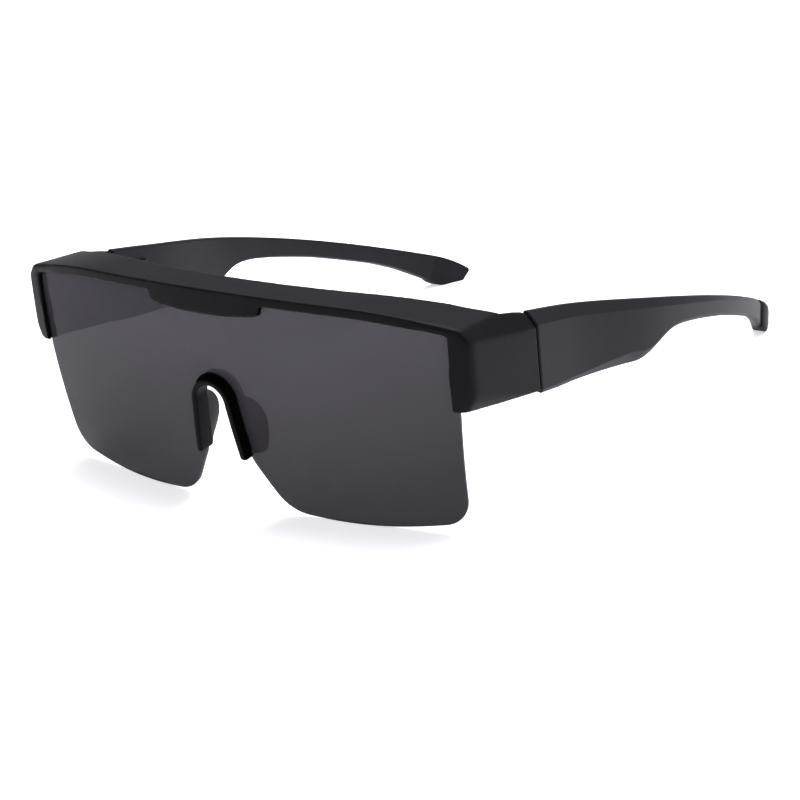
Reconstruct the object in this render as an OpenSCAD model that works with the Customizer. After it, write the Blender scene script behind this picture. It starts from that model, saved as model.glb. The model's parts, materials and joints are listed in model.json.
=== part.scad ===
// Over-glasses shield sunglasses, standing on the lens and on the temple tips.
// Millimetres. +Z is up, the lens faces -Y and the wearer's left side is +X.
// The origin lies on the table, under the middle of the outline.

/* [Front] */
// Width over the two end pieces
front_w = 152; // [146:1:160]
// Lean of the lens, top edge forward
lens_tilt = 7; // [4:0.5:10]
// Height of the top front edge in the middle
top_edge = 63.2; // [62:0.2:66]
// Height of the lip that hides the lens's top edge
lip_h = 2; // [1.8:0.1:2.6]
// How far the frame stands proud of the lens
frame_proud = 1.6; // [1:0.1:2.5]
// Thickness of the shelf on top
shelf_t = 2.6; // [2:0.2:4]
// Depth of the shelf in the middle, from the lip to its back edge
shelf_d = 14; // [12:0.5:16]
// Radius of the shelf's back edge
shelf_back_r = 160; // [140:5:200]
// Radius of the top in the middle
crown_r = 1400; // [1000:50:2000]
// Half width of that flat middle
crown_half_w = 40; // [34:1:44]
// Radius of the top towards its ends
crown_end_r = 185; // [160:5:230]
// Fall of the shelf towards its back, degrees
shelf_fall = 5; // [3:0.5:7]

/* [Tab] */
// Half width of the middle tab
tab_half_w = 19.5; // [14:0.5:24]
// Drop of the tab below the lip at its ends
tab_drop = 3.4; // [2.4:0.2:4.4]
// Extra drop of the tab in the middle
tab_belly = 1.3; // [0.9:0.1:2]

/* [End pieces] */
// Width of the strip that overlaps the lens
strip_w = 5.8; // [5.4:0.1:6.4]
// Thickness of the side wall
wall_t = 4.5; // [4:0.25:5.5]
// Height of the underside at the front
end_bottom_front = 36.4; // [34:0.2:38]
// Height of the underside at the hinge
end_bottom_back = 31.8; // [30:0.2:33]
// Height of the top edge at the hinge
end_top_back = 52.2; // [51.8:0.1:52.6]
// Height of the outer chamfer
shoulder_h = 3.3; // [3:0.1:3.6]
// Width of the outer chamfer
shoulder_w = 2.7; // [2.3:0.1:3]
// Rise of the top at the hinge, from the chamfer to the inner edge
end_rise = 0.6; // [0.3:0.1:0.8]
// Radius of the front corner in plan
corner_r = 2.5; // [2:0.1:3]
// Radius of the lower front corner, seen from the front
low_corner_r = 3.6; // [3:0.1:4]

/* [Lens] */
// Radius of the lens, which is curved both ways
lens_r = 230; // [190:5:280]
// Thickness of the lens
lens_t = 1.8; // [1.6:0.1:2.2]
// Depth of the lens edge in the frame's groove
lens_grip = 1.3; // [1:0.1:1.6]
// Room between the lens's side edge and the side wall
side_room = 0.6; // [0.4:0.1:0.8]
// Narrowing of the lens on each side, down to the lower corner
lens_taper = 2.4; // [1:0.2:4]
// Radius of the lower outer corners
lens_corner_r = 9; // [6:0.5:12]
// Radius of the soft corners beside the nose
lens_inner_r = 16; // [12:1:20]
// Radius of the lower edges
lens_low_r = 150; // [120:5:200]
// Half width of the nose notch at its arch
notch_half_w = 6; // [5.5:0.1:7]
// Height of the notch's arch
notch_z = 37.8; // [36:0.2:39]
// Clearance of the lens in its grooves
lens_gap = 0.1; // [0.05:0.05:0.2]

/* [Nose piece] */
// Height of its lower ends, along the lens
nose_low = 16; // [14:0.2:18]
// Width of its wall from the gap to the notch edge
nose_wall = 1.2; // [1:0.1:1.6]
// How far its front face stands before the lens
nose_proud = 3; // [2.4:0.1:3.4]
// How far its rib reaches out over the lens edge
rib_reach = 0.6; // [0.3:0.1:0.9]
// Cover of its flanges over the lens edge
nose_cover = 1.4; // [1.2:0.1:1.8]
// How far the pads reach behind the lens
pad_reach = 6.4; // [5:0.2:7.4]
// Outward flare of the pads at their lower ends
pad_flare = 1.6; // [1:0.1:3]

/* [Temples] */
// Length from the hinge to the rearmost point of the tip
temple_l = 148; // [145:1:150]
// Height of the temple's top edge at the hinge
temple_top = 52.9; // [52.6:0.1:53.2]
// Height of the temple's side at the hinge
temple_h = 22.6; // [22:0.1:23.2]
// Fall of the temple at the hinge, degrees
temple_fall = 11.25; // [10.75:0.25:11.75]
// Fall of the temple where its end bend starts, degrees
arm_fall = 23; // [22.25:0.25:23.75]
// Length of the wide part, up to its step
wide_l = 49; // [44:1:54]
// Height of the wide part at its step
wide_h = 17.2; // [16.4:0.2:18]
// Length of the step down to the slim arm
step_l = 14; // [12:0.5:18]
// Turn of the tip at its end, degrees below level
tip_turn = 42; // [39:0.5:45]
// Height of the tip's end, where its foot lies along the table
tip_end_h = 3.2; // [3:0.1:3.6]
// Radius of the rounded end
tip_r = 1; // [0.8:0.1:1.2]
// Thickness at the hinge
temple_t = 4.5; // [4:0.25:5.5]
// Thickness of the slim arm
arm_t = 3.6; // [3:0.1:4.2]
// Height of the slim arm
arm_h = 5.8; // [5:0.1:6.4]
// Height of the bulb at the tip
bulb_h = 9; // [8.4:0.2:9.6]
// Outward bow of the temple past the hinge leaf
bow = 4.2; // [3:0.2:5.4]
// Distance of the inward bend from the hinge
bend_at = 54; // [50:1:60]
// How far the tip lies inside the hinge's outer face
tip_in = 17.4; // [14:0.2:20]
// Outward swell of the tip's outer face
tip_swell = 1; // [0.6:0.1:1.4]

/* [Hinges] */
// Gap between the end piece and the temple
hinge_gap = 0.6; // [0.5:0.05:0.9]
// Distance of the hinge behind the lip
hinge_y = 41.6; // [40:0.2:43]
// Height of the middle of the hinge
hinge_z = 41.5; // [40:0.25:43]
// Radius of the barrel
barrel_r = 1.7; // [1.5:0.05:1.9]
// Radius of the hinge screw
pin_r = 0.7; // [0.6:0.05:0.9]
// Running clearance round the screw
pin_gap = 0.05; // [0.02:0.01:0.08]
// Height of one outer knuckle
knuckle_h = 3; // [2.5:0.1:3.5]
// Height of the temple's knuckle
tongue_h = 3.8; // [3:0.1:4.5]
// Gap above and below the temple's knuckle
tongue_gap = 0.1; // [0.05:0.01:0.2]
// Thickness of the leaves
leaf_t = 1.2; // [1:0.05:1.4]
// Length of the leaves from the barrel
leaf_l = 13; // [12:0.5:15]
// Radius of the small leaf screws
leaf_screw_r = 0.6; // [0.5:0.05:0.8]

/* [Hidden] */
$fn = 48;
large_fn = 360;
// Cutting solids reach this far past what they cut
past = 1;
// Boxes round the front: the room before the lip, the depth and the height
room_y = 30;
box_y = 60;
box_z = 90;

// Lens frame: the x, y and z of the front before it leans forward
ball_z = 20;
half_w = front_w / 2;
wall_in = half_w - wall_t;
lens_half_w = wall_in - side_room;
top_along = top_edge * cos(lens_tilt);
// Depth of a ball of the lens's radius at a distance from its middle line
function sag(d) = lens_r - sqrt(lens_r * lens_r - d * d);
// The foremost point is the top of the lip in the middle, at y = 0
lens_y = top_edge * sin(lens_tilt) + frame_proud - sag(top_along - ball_z);
// Front face of the lens at a place on it
function lens_face(x, z) = lens_y + lens_r - sqrt(lens_r * lens_r - x * x - pow(z - ball_z, 2));
// Lowest edge of the lens, which touches the table
lens_low_x = 40;
lens_low = -lens_face(lens_low_x, 0) * tan(lens_tilt);
rib_t = 1.6;

// Outline of the whole part from lip to tip, and the shift that centres it
part_depth = hinge_y + temple_l;
shift_y = -part_depth / 2;

// Crown of the top, seen from the front: a flat arc, then a tighter one to each end
crown_turn = asin(crown_half_w / crown_r);
crown_end_x = (crown_r - crown_end_r) * sin(crown_turn);
crown_end_drop = crown_r - (crown_r - crown_end_r) * cos(crown_turn);
function arc_drop(x) = x < crown_half_w ? crown_r - sqrt(crown_r * crown_r - x * x)
    : crown_end_drop - sqrt(crown_end_r * crown_end_r - pow(x - crown_end_x, 2));
function top_z(x, y) = top_edge - arc_drop(x) - y * tan(shelf_fall);

// End piece sections at its front and at the hinge
butt_y = hinge_y - hinge_gap / 2;
strip_in = half_w - strip_w;
shoulder_x = half_w - shoulder_w;
end_front_y = 14.4;
strip_front_y = 7.2;
end_top_front = top_z(shoulder_x, end_front_y);
// The top follows the shelf to a ridge, then falls to the hinge
function shelf_back(x) = shelf_d + shelf_back_r - sqrt(shelf_back_r * shelf_back_r - x * x);
ridge_in = 1.5;
ridge_y = shelf_back(wall_in) - ridge_in;
ridge_w = 0.4;
thin = 0.01;

// Hinge
pivot_gap = 0.3;
pivot_x = wall_in - barrel_r - pivot_gap;
stack_h = 2 * knuckle_h + tongue_h + 2 * tongue_gap;
stack_z = hinge_z - stack_h / 2;
tongue_z = stack_z + knuckle_h + tongue_gap;
bore_r = pin_r + pin_gap;
head_r = 1.35;
head_h = 0.8;
slot_w = 0.35;
slot_d = 0.4;
leaf_head_r = 1.1;
leaf_head_h = 0.5;
leaf_screw_l = 2.4;
leaf_screw_at = [6, 10.5];
leaf_cut = 0.05;

module lean() rotate([lens_tilt, 0, 0]) children();

// Solid of the ball that the lens is part of, grown or shrunk
module ball(grow) {
    lean() translate([0, lens_y + lens_r, ball_z])
        sphere(r = lens_r + grow, $fn = large_fn);
}

// Prism through the front of an outline drawn from the front
module through_front() {
    lean() translate([0, box_y, 0]) rotate([90, 0, 0])
        linear_extrude(height = box_y + room_y) children();
}

// Everything under the crowned top, lowered by some amount
module under_top(lower) {
    translate([0, 0, top_edge - lower]) rotate([90 - shelf_fall, 0, 0])
        translate([0, 0, -box_z]) linear_extrude(height = 2 * box_z) crown();
}

crown_step = 4;
crown_points = [for (x = [-half_w : crown_step : half_w]) [x, -arc_drop(abs(x))]];
module crown() polygon(concat(crown_points, [[half_w, -box_z], [-half_w, -box_z]]));

// Edge of the nose notch from the lower left end over the arch
leg_spread = 0.12;
arch_z = notch_z - notch_half_w;
function notch_leg(z) = notch_half_w + (arch_z - z) * leg_spread;
arch_steps = 12;
leg_steps = 7;
function leg_points(side, from) = [for (i = [0 : leg_steps - 1])
    let (z = from + (arch_z - from) * i / leg_steps) [side * notch_leg(z), z]];
arch_points = [for (i = [0 : arch_steps])
    let (a = 180 - 180 * i / arch_steps) [notch_half_w * cos(a), arch_z + notch_half_w * sin(a)]];
function reversed(list) = [for (i = [len(list) - 1 : -1 : 0]) list[i]];
function notch_path(from) = concat(leg_points(-1, from), arch_points,
                                   reversed(leg_points(1, from)));
// Below the nose piece the notch's edges flare out
flare_z = nose_low - 1;
flare_lean = 0.6;
flare_reach = 20;

// Outline of the lens from the front, with its top left open
module lens_outline() {
    intersection() {
        lens_sides();
        lens_notch();
    }
}

// Lower edges as two shallow arcs
low_step = 3;
function low_z(x) = lens_low + pow(abs(x) - lens_low_x, 2) / (2 * lens_low_r);
module lens_sides() {
    low_side = lens_half_w - lens_taper;
    lows = [for (x = [-low_side : low_step : low_side]) [x, low_z(x)]];
    offset(r = lens_corner_r) offset(delta = -lens_corner_r)
        polygon(concat([[-lens_half_w, top_edge + past], [-lens_half_w, end_bottom_back]],
                       lows, [[low_side, low_z(low_side)],
                       [lens_half_w, end_bottom_back], [lens_half_w, top_edge + past]]));
}

// Everything outside the nose notch, down to two soft corners
module lens_notch() {
    flare_x = notch_leg(flare_z) + (flare_z - lens_low + flare_reach) * flare_lean;
    offset(r = lens_inner_r) offset(delta = -lens_inner_r) difference() {
        translate([-2 * half_w, lens_low - past]) square([4 * half_w, 2 * top_edge]);
        polygon(concat([[-flare_x, lens_low - flare_reach]], notch_path(flare_z),
                       [[flare_x, lens_low - flare_reach]]));
    }
}

module lens_blank(gap) {
    intersection() {
        difference() {
            ball(gap);
            ball(-lens_t - gap);
        }
        through_front() offset(delta = gap) lens_outline();
        under_top(lip_h - lens_grip - gap);
    }
}

module shield_lens() color([0.22, 0.21, 0.23, 0.8]) lens_blank(0);

// Outer form of an end piece on the wearer's left, filled from its inner strip edge
module end_block() {
    intersection() {
        hull() {
            translate([0, end_front_y, 0])
                end_plate(end_bottom_front, end_top_front, end_top_front, low_corner_r);
            translate([wall_in, ridge_y, hinge_z])
                cube([ridge_w, thin, top_z(wall_in, ridge_y) - hinge_z]);
            translate([0, butt_y - thin, 0])
                end_plate(end_bottom_back, end_top_back, end_top_back + end_rise, thin);
            end_corner();
        }
        translate([strip_in, -room_y, 0]) cube([strip_w, box_y + room_y, box_z]);
    }
}

// Section of the end piece, with its lower outer corner rounded
module end_plate(low, high, inner_high, r) {
    corner = [for (a = [270 : 30 : 360]) [half_w - r + r * cos(a), low + r + r * sin(a)]];
    rotate([90, 0, 0]) translate([0, 0, -thin]) linear_extrude(height = thin)
        polygon(concat([[strip_in, low]], corner,
                       [[half_w, high - shoulder_h], [shoulder_x, high],
                        [wall_in, inner_high], [strip_in, inner_high]]));
}

// Front corner, round in plan, and drawn in towards its foot
module end_corner() {
    tall = end_top_front - shoulder_h - end_bottom_front - low_corner_r;
    translate([half_w - corner_r, end_front_y, end_bottom_front]) {
        translate([0, 0, low_corner_r]) cylinder(r = corner_r, h = tall, $fn = 32);
        for (a = [30, 60]) translate([0, 0, low_corner_r * (1 - sin(a))])
            cylinder(r = corner_r - low_corner_r * (1 - cos(a)), h = thin, $fn = 32);
    }
    translate([strip_in, strip_front_y, end_bottom_front])
        cube([half_w - corner_r - strip_in, past, end_top_front - end_bottom_front]);
}

module both_sides() {
    children();
    mirror([1, 0, 0]) children();
}

// Shelf on top, from the lip to its curved back edge and along the side walls
module shelf() {
    difference() {
        intersection() {
            under_top(0);
            translate([-wall_in - ridge_w, 0, 0])
                cube([2 * (wall_in + ridge_w), butt_y, box_z]);
        }
        under_top(shelf_t);
        translate([0, shelf_d + shelf_back_r, 0])
            cylinder(r = shelf_back_r, h = box_z, $fn = large_fn);
    }
}

// Curved band that holds the lens, between the front face and the rib behind it
module band() {
    difference() {
        translate([-half_w, -room_y, 0]) cube([front_w, box_y + room_y, box_z]);
        ball(-lens_t - lens_gap - rib_t);
    }
}

tab_round = 1;
tab_r = (tab_half_w * tab_half_w + tab_belly * tab_belly) / (2 * tab_belly);
module tab_outline() {
    tab_low = top_along - lip_h - arc_drop(tab_half_w) - tab_drop;
    offset(r = tab_round) offset(delta = -tab_round) intersection() {
        translate([-tab_half_w, tab_low - tab_belly])
            square([2 * tab_half_w, tab_drop + tab_belly + lip_h]);
        translate([0, tab_low - tab_belly + tab_r]) circle(r = tab_r, $fn = large_fn);
    }
}

module front_frame() {
    color([0.12, 0.12, 0.13]) difference() {
        intersection() {
            union() {
                shelf();
                intersection() {
                    band();
                    difference() {
                        under_top(0);
                        under_top(lip_h);
                    }
                    translate([-shoulder_x, -room_y, 0])
                        cube([2 * shoulder_x, box_y + room_y, box_z]);
                }
                difference() {
                    intersection() {
                        through_front() tab_outline();
                        under_top(0);
                    }
                    ball(-lens_gap);
                }
                both_sides() {
                    intersection() {
                        end_block();
                        band();
                    }
                    intersection() {
                        end_block();
                        translate([wall_in, 0, 0]) cube([wall_t, box_y, box_z]);
                    }
                }
            }
            ball(frame_proud);
        }
        lens_blank(lens_gap);
        both_sides() leaf_holes(-1, leaf_screw_l + leaf_cut, leaf_screw_r + leaf_cut);
    }
}

// Small holes or shanks for one leaf, before or behind the hinge
module leaf_holes(way, depth, r) {
    for (d = leaf_screw_at)
        translate([wall_in - past, hinge_y + way * d, hinge_z]) rotate([0, 90, 0])
            cylinder(r = r, h = depth + past, $fn = 24);
}

// One leaf plate with its web towards the barrel
module leaf_plate(way) {
    clear = barrel_r + pivot_gap;
    far_y = hinge_y + way * leaf_l;
    near_y = hinge_y + way * clear;
    translate([wall_in - leaf_t, min(far_y, near_y), stack_z])
        cube([leaf_t, leaf_l - clear, stack_h]);
}

web_in = 0.4;
module web(way, low, tall) {
    near = hinge_gap / 2;
    reach = barrel_r + pivot_gap + past / 2;
    translate([pivot_x + web_in, way > 0 ? hinge_y + near : hinge_y - reach, low])
        cube([wall_in - pivot_x - web_in, reach - near, tall]);
}

module knuckle(low, tall) {
    translate([pivot_x, hinge_y, low]) cylinder(r = barrel_r, h = tall);
}

module bore() {
    translate([pivot_x, hinge_y, stack_z - past])
        cylinder(r = bore_r, h = stack_h + 2 * past);
}

module leaf_bores(way) {
    for (d = leaf_screw_at)
        translate([wall_in - leaf_t - past, hinge_y + way * d, hinge_z]) rotate([0, 90, 0])
            cylinder(r = leaf_screw_r + leaf_cut, h = leaf_t + 2 * past, $fn = 24);
}

module end_leaf() {
    color([0.55, 0.55, 0.57]) difference() {
        union() {
            leaf_plate(-1);
            for (low = [stack_z, stack_z + stack_h - knuckle_h]) {
                knuckle(low, knuckle_h);
                web(-1, low, knuckle_h);
            }
        }
        bore();
        leaf_bores(-1);
    }
}

module temple_leaf() {
    color([0.55, 0.55, 0.57]) difference() {
        union() {
            leaf_plate(1);
            knuckle(tongue_z, tongue_h);
            web(1, tongue_z, tongue_h);
        }
        bore();
        leaf_bores(1);
    }
}

module hinge_screw() {
    color([0.7, 0.7, 0.72]) difference() {
        translate([pivot_x, hinge_y, stack_z]) {
            cylinder(r = pin_r, h = stack_h);
            translate([0, 0, stack_h]) cylinder(r = head_r, h = head_h);
        }
        translate([pivot_x - slot_w / 2, hinge_y - head_r - past,
                   stack_z + stack_h + head_h - slot_d])
            cube([slot_w, 2 * (head_r + past), slot_d + past]);
    }
}

module leaf_screws(way) {
    color([0.7, 0.7, 0.72]) for (d = leaf_screw_at)
        translate([wall_in - leaf_t, hinge_y + way * d, hinge_z]) rotate([0, 90, 0]) {
            cylinder(r = leaf_screw_r, h = leaf_t + leaf_screw_l, $fn = 24);
            translate([0, 0, -leaf_head_h]) cylinder(r = leaf_head_r, h = leaf_head_h);
        }
}

// Nose piece: its section runs along the notch, from n = 0 at the lens edge. A rib stands
// before the lens, and the pads behind are deepest halfway down the legs
pad_back = 0.9;
pad_w = 1.5;
nose_round = 0.4;
flange_t = 0.5;
pad_swell = [[0, 0.1], [0.25, 0.6], [0.5, 1], [0.75, 0.85], [1, 0.3]];
function low_share(z) = min(1, max(0, (arch_z - z) / (arch_z - nose_low)));
function nose_section(z) =
    let (out = pad_flare * low_share(z),
         back = lens_t + pad_back + (pad_reach - pad_back) * lookup(low_share(z), pad_swell))
    [[-nose_wall, -nose_proud + nose_round], [-nose_wall + nose_round, -nose_proud],
     [rib_reach - nose_round, -nose_proud], [rib_reach, -nose_proud + nose_round],
     [rib_reach, -flange_t], [nose_cover, -flange_t], [nose_cover, -lens_gap], [-lens_gap, -lens_gap], [-lens_gap, lens_t + lens_gap],
     [nose_cover, lens_t + lens_gap], [nose_cover + out, (lens_t + back) / 2],
     [nose_cover + out - nose_round, back], [nose_cover + out - pad_w, back],
     [-nose_wall, lens_t]];

function unit(v) = v / norm(v);
module nose_piece() {
    path = notch_path(nose_low);
    last = len(path) - 1;
    rows = [for (i = [0 : last])
        let (p = path[i],
             ahead = path[min(last, i + 1)] - path[max(0, i - 1)],
             t = unit(ahead),
             n = [-t[1], t[0]])
        [for (q = nose_section(p[1]))
            let (x = p[0] + n[0] * q[0], z = p[1] + n[1] * q[0])
            [x, lens_face(p[0], p[1]) + q[1], z]]];
    color([0.1, 0.1, 0.11]) lean() skin(rows);
}

// Closed solid through equal rings of points, with flat ends
module skin(rows) {
    n = len(rows[0]);
    m = len(rows);
    points = [for (row = rows) each row];
    sides = [for (i = [0 : m - 2]) for (j = [0 : n - 1])
        let (a = i * n + j, b = i * n + (j + 1) % n) [a, b, b + n, a + n]];
    polyhedron(points = points, faces = concat(
        [[for (j = [n - 1 : -1 : 0]) j]], sides,
        [[for (j = [0 : n - 1]) (m - 1) * n + j]]), convexity = 6);
}

// Temple: its top edge is two arcs, a long shallow one and the end bend, and their
// radii follow from the length and from the height of the tip's end
tip_over = tip_r * (cos(tip_turn) + sin(tip_turn) - 1);
start_y = hinge_y + hinge_gap / 2;
run_y = temple_l - hinge_gap / 2 + tip_over;
drop_z = temple_top - tip_end_h;
long_sin = sin(arm_fall) - sin(temple_fall);
long_cos = cos(temple_fall) - cos(arm_fall);
end_sin = sin(tip_turn) - sin(arm_fall);
end_cos = cos(arm_fall) - cos(tip_turn);
arcs_det = long_sin * end_cos - end_sin * long_cos;
long_r = (run_y * end_cos - end_sin * drop_z) / arcs_det;
end_r = (long_sin * drop_z - long_cos * run_y) / arcs_det;
long_l = long_r * (arm_fall - temple_fall) * PI / 180;
edge_l = long_l + end_r * (tip_turn - arm_fall) * PI / 180;
function heading(s) = s < long_l ? temple_fall + s / long_r * 180 / PI
    : arm_fall + (s - long_l) / end_r * 180 / PI;
function edge_y(s) = start_y + (s < long_l ? long_r * (sin(heading(s)) - sin(temple_fall))
    : long_r * long_sin + end_r * (sin(heading(s)) - sin(arm_fall)));
function edge_z(s) = temple_top - (s < long_l ? long_r * (cos(temple_fall) - cos(heading(s)))
    : long_r * long_cos + end_r * (cos(arm_fall) - cos(heading(s))));
// In plan the temple is straight along the leaf, bows out, then bends inward
flat_y = hinge_y + leaf_l + 1;
bow_l = 40;
bend_y = hinge_y + bend_at;
bend_r = pow(part_depth - bend_y, 2) / (2 * (tip_in + bow));
function sweep_in(y) =
    let (u = min(1, max(0, y - flat_y) / bow_l), v = max(0, y - bend_y))
    v * v / (2 * bend_r) - bow * u * u * (3 - 2 * u);

neck_l = wide_l + step_l;
heights = [[0, temple_h], [wide_l, wide_h], [wide_l + step_l * 0.25, wide_h * 0.89],
           [wide_l + step_l * 0.75, wide_h * 0.58], [neck_l, wide_h * 0.49],
           [neck_l + 6, arm_h + 1.5], [neck_l + 16, arm_h + 0.7], [neck_l + 32, arm_h],
           [edge_l - 36, arm_h], [edge_l - 26, arm_h + 0.7], [edge_l - 17, bulb_h - 1],
           [edge_l - 12, bulb_h], [edge_l, bulb_h]];
// The foot of the tip is cut level with the table
function height(s) = min(lookup(s, heights), edge_z(s) / cos(heading(s)));
thick = [[0, temple_t], [wide_l, temple_t - 0.4], [neck_l + 10, arm_t],
         [edge_l - 22, arm_t], [edge_l - 8, arm_t + 0.8], [edge_l, arm_t + 0.8]];
swell = [[0, 0], [edge_l - 14, 0], [edge_l - 6, tip_swell], [edge_l, tip_swell]];
top_cut_h = [[0, shoulder_h + 0.1], [30, shoulder_h - 0.5], [neck_l, 2], [neck_l + 26, 1.3],
             [edge_l - 12, 1.2], [edge_l - 2, 0.6]];
top_cut_w = [[0, shoulder_w], [30, shoulder_w - 0.4], [neck_l, 1.5], [neck_l + 26, 1.2],
             [edge_l, 1.2]];
// Height of the face under the crease, which climbs away from the lower edge
low_cut = [[0, 2], [12, 1.4], [wide_l * 0.5, 1.5], [wide_l - 4, 3.6],
           [wide_l + step_l * 0.25, 2.2], [wide_l + step_l * 0.75, 1.2],
           [edge_l - 12, 1.2], [edge_l - 2, 0.6]];
in_rise = [[0, 0.6], [wide_l, 0.8], [neck_l + 6, 0.6], [edge_l - 12, 0.6], [edge_l - 8, 0]];
in_round = 0.6;

function temple_section(s, inset) =
    let (h = height(s), t = lookup(s, thick), ch = lookup(s, top_cut_h),
         cw = lookup(s, top_cut_w), lc = lookup(s, low_cut), ri = lookup(s, in_rise),
         out = lookup(s, swell), k = inset * 0.4)
    [[out - cw, -inset], [out - k, -ch - inset], [out - k, -(h - lc) + inset],
     [out - lc * 0.6 - k, -h + inset], [-t + in_round + k, -h + ri + inset],
     [-t + k, -h + ri + in_round + inset], [-t + k, -in_round - inset],
     [-t + in_round + k, -inset]];

body_stops = concat([0, 13, wide_l * 0.5, wide_l * 0.75, wide_l - 4, wide_l],
                    [for (f = [0.25, 0.5, 0.75]) wide_l + step_l * f],
                    [for (d = [0, 3, 6, 11, 16, 22]) neck_l + d]);
bend_steps = 14;
end_start = edge_l - tip_r;
bend_stops = [for (i = [1 : bend_steps])
    neck_l + 22 + (end_start - neck_l - 22) * i / bend_steps];
end_stops = [for (a = [18, 36, 54, 72, 86]) [end_start + tip_r * sin(a), tip_r * (1 - cos(a))]];
stops = concat([for (s = concat(body_stops, bend_stops)) [s, 0]], end_stops);

module temple() {
    rows = [for (stop = stops)
        let (s = stop[0], a = heading(s))
        [for (q = temple_section(s, stop[1]))
            let (y = edge_y(s) + (s < 1 ? 0 : q[1] * sin(a)))
            [half_w - sweep_in(y) + q[0], y, edge_z(s) + q[1] * cos(a)]]];
    color([0.13, 0.13, 0.14]) difference() {
        skin(rows);
        leaf_holes(1, leaf_screw_l + leaf_cut, leaf_screw_r + leaf_cut);
    }
}

module placed() translate([0, shift_y, 0]) children();
module placed_right() placed() mirror([1, 0, 0]) children();

placed() front_frame();
placed() shield_lens();
placed() nose_piece();
placed() temple();  // left_temple
placed_right() temple();  // right_temple
placed() end_leaf();  // left_end_leaf
placed_right() end_leaf();  // right_end_leaf
placed() temple_leaf();  // left_temple_leaf
placed_right() temple_leaf();  // right_temple_leaf
placed() hinge_screw();  // left_hinge_screw
placed_right() hinge_screw();  // right_hinge_screw
placed() both_sides() leaf_screws(-1);  // end_leaf_screws
placed() leaf_screws(1);  // left_leaf_screws
placed_right() leaf_screws(1);  // right_leaf_screws
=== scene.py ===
# %% [markdown]
# # Over-glasses sunglasses
# These sunglasses go over a pair of ordinary glasses. One dark lens fills the whole front. A black
# moulding holds its top edge and its sides, a small saddle sits in its nose notch, and two wide
# temples fold on steel hinges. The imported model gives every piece's place and size. This script
# gives each piece its finished surface: rounded edges, and plastic, lens and steel materials.

import json
import math

import bmesh
import bpy
import numpy as np
from mathutils import Matrix, Vector, geometry


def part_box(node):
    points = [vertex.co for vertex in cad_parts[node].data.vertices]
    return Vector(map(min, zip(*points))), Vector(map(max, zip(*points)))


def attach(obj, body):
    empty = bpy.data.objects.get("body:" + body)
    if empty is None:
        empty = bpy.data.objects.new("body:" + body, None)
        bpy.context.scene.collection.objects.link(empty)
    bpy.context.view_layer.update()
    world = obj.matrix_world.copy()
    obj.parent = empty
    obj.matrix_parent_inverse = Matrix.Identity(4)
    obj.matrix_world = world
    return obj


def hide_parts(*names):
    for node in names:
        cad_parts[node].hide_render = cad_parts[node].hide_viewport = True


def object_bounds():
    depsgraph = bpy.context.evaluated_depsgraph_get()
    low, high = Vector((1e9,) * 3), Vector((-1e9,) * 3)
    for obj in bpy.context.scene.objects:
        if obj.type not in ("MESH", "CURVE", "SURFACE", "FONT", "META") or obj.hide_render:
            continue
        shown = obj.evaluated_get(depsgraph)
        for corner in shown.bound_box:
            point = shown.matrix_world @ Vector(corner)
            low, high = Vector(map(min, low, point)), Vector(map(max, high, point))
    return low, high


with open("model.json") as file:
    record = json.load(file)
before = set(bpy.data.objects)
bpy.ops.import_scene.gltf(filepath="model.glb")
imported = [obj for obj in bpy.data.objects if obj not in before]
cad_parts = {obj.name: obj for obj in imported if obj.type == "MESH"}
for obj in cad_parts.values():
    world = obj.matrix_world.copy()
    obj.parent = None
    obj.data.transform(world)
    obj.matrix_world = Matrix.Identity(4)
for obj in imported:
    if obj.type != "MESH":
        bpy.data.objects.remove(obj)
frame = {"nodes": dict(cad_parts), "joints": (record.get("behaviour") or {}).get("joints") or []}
cad_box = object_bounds()
MM = 0.001
print("CAD box in mm:", [[round(v / MM, 1) for v in corner] for corner in cad_box])

# %% [markdown]
# ## Sizes that the frame gives
# A maker works from the drawing, so the first step reads it. The front moulding's box gives the
# width and the height of the brow, and the hinge's axis gives the place of the temples. The rest
# are the drawing's own sizes in millimetres, such as the radius of the lens. Distances along y
# count from the lip at the very front, as on the drawing.

# %% Sizes in millimetres
hinge_place = np.array(frame["joints"][0]["pos_m"]) / MM
front_high = np.array(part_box("front_frame")[1]) / MM
half_w = front_high[0]
top_edge = front_high[2]
hinge_y = 41.6
shift_y = hinge_place[1] - hinge_y
print("half width", round(half_w, 2), "top", round(top_edge, 2), "hinge at", hinge_place.round(2))

# %% [markdown]
# ## From the drawing to the scene
# The drawing measures in millimetres from the lip, and Blender in metres from the origin. Points
# could be converted wherever they are used, but one forgotten conversion puts a piece in the wrong
# place. So one helper moves points into the scene, and another leans those of the lens forward,
# because the lens is drawn upright and the real front leans by 7 degrees.

# %% Points from the drawing to the scene
tilt = math.radians(7)


def placed(points):
    """Drawing millimetres to scene metres."""
    return (np.atleast_2d(points) + (0, shift_y, 0)) * MM


def leaned(points):
    """Leans points of the upright lens forward, as the front stands."""
    x, y, z = np.atleast_2d(points).T
    c, s = math.cos(tilt), math.sin(tilt)
    return np.stack([x, y * c - z * s, y * s + z * c], 1)


def linked(name, data):
    """A new object of the scene that shows the data."""
    made = bpy.data.objects.new(name, data)
    bpy.context.scene.collection.objects.link(made)
    return made


print("the front leans by", round(math.degrees(tilt)), "degrees, its lip is at y", round(shift_y, 1))

# %% [markdown]
# ## Camera
# The photograph was taken from the wearer's left and a little above, with a long lens, and its
# frame is slightly rolled. The camera takes that place: its position, its focal length and its
# roll come from fitting the drawing's corners to the photograph. Its three axes are worked out
# here and set as one matrix, because a camera that tracks an empty can't be rolled as easily.

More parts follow.
